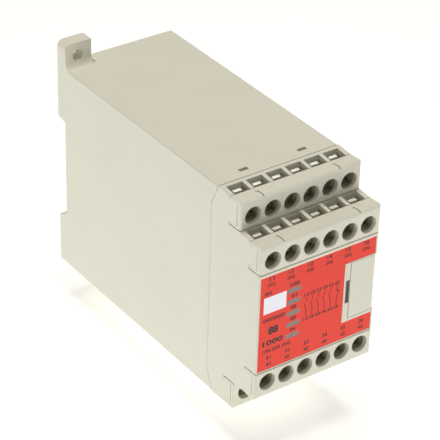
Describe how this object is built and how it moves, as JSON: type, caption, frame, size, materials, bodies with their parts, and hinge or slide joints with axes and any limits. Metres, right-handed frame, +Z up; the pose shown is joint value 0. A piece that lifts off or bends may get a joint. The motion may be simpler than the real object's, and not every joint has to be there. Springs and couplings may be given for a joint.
{
  "type": "safety relay",
  "caption": "Deep narrow relay housing for a 35 mm rail or panel, with stepped screw terminals above and below a red label, a hinged service door and a sprung rail latch.",
  "frame": {"origin": "centre of the two panel screw holes, on the mounting plane at the back", "axes": "+X to the right seen from the front, +Y out of the back towards the panel, +Z up"},
  "size_m": [0.045, 0.1125, 0.0983],
  "materials": {
    "housing_plastic": "satin",
    "block_plastic": "satin",
    "plated_steel": "nickel plated",
    "plated_brass": "tin plated",
    "label_red": "printed film",
    "clear_plastic": "smoked translucent",
    "lamp_white": "clear",
    "latch_plastic": "satin",
    "spring_steel": "drawn wire",
    "board_green": "solder mask",
    "relay_plastic": "moulded",
    "core_steel": "varnished laminations",
    "winding_plastic": "wound tape",
    "can_sleeve": "shrink sleeve",
    "link_plastic": "moulded"
  },
  "bodies": {
    "relay_body": {"case": "housing_plastic", "front_housing": "housing_plastic", "service_tub": "housing_plastic", "terminal_cover_1": "housing_plastic", "terminal_block_1": "block_plastic", "terminal_screws_1": "plated_steel", "terminal_plates_1": "plated_brass", "terminal_cover_2": "housing_plastic", "terminal_block_2": "block_plastic", "terminal_screws_2": "plated_steel", "terminal_plates_2": "plated_brass", "terminal_cover_3": "housing_plastic", "terminal_block_3": "block_plastic", "terminal_screws_3": "plated_steel", "terminal_plates_3": "plated_brass", "terminal_cover_4": "housing_plastic", "terminal_block_4": "block_plastic", "terminal_screws_4": "plated_steel", "terminal_plates_4": "plated_brass", "label_film": "label_red", "status_windows": "clear_plastic", "status_leds": "lamp_white", "latch_spring": "spring_steel", "terminal_board": "board_green", "front_board": "board_green", "main_board": "board_green", "relay_upper": "relay_plastic", "relay_lower": "relay_plastic", "transformer_core": "core_steel", "transformer_winding": "winding_plastic", "smoothing_capacitors": "can_sleeve", "board_link": "link_plastic", "service_socket": "link_plastic"},
    "door": {"service_door": "housing_plastic"},
    "latch": {"rail_latch": "latch_plastic"}
  },
  "joints": [
    {"name": "door_hinge", "type": "hinge", "parent": "relay_body", "child": "door", "pos_m": [0.0213, -0.11155, 0], "axis": [0, 0, 1], "range_deg": [0, 100]},
    {"name": "latch_slide", "type": "slide", "parent": "relay_body", "child": "latch", "axis": [0, 0, -1], "range_m": [0, 0.003], "stiffness_N_per_m": 1500, "springref_m": -0.002, "deforming": ["latch_spring"]}
  ]
}
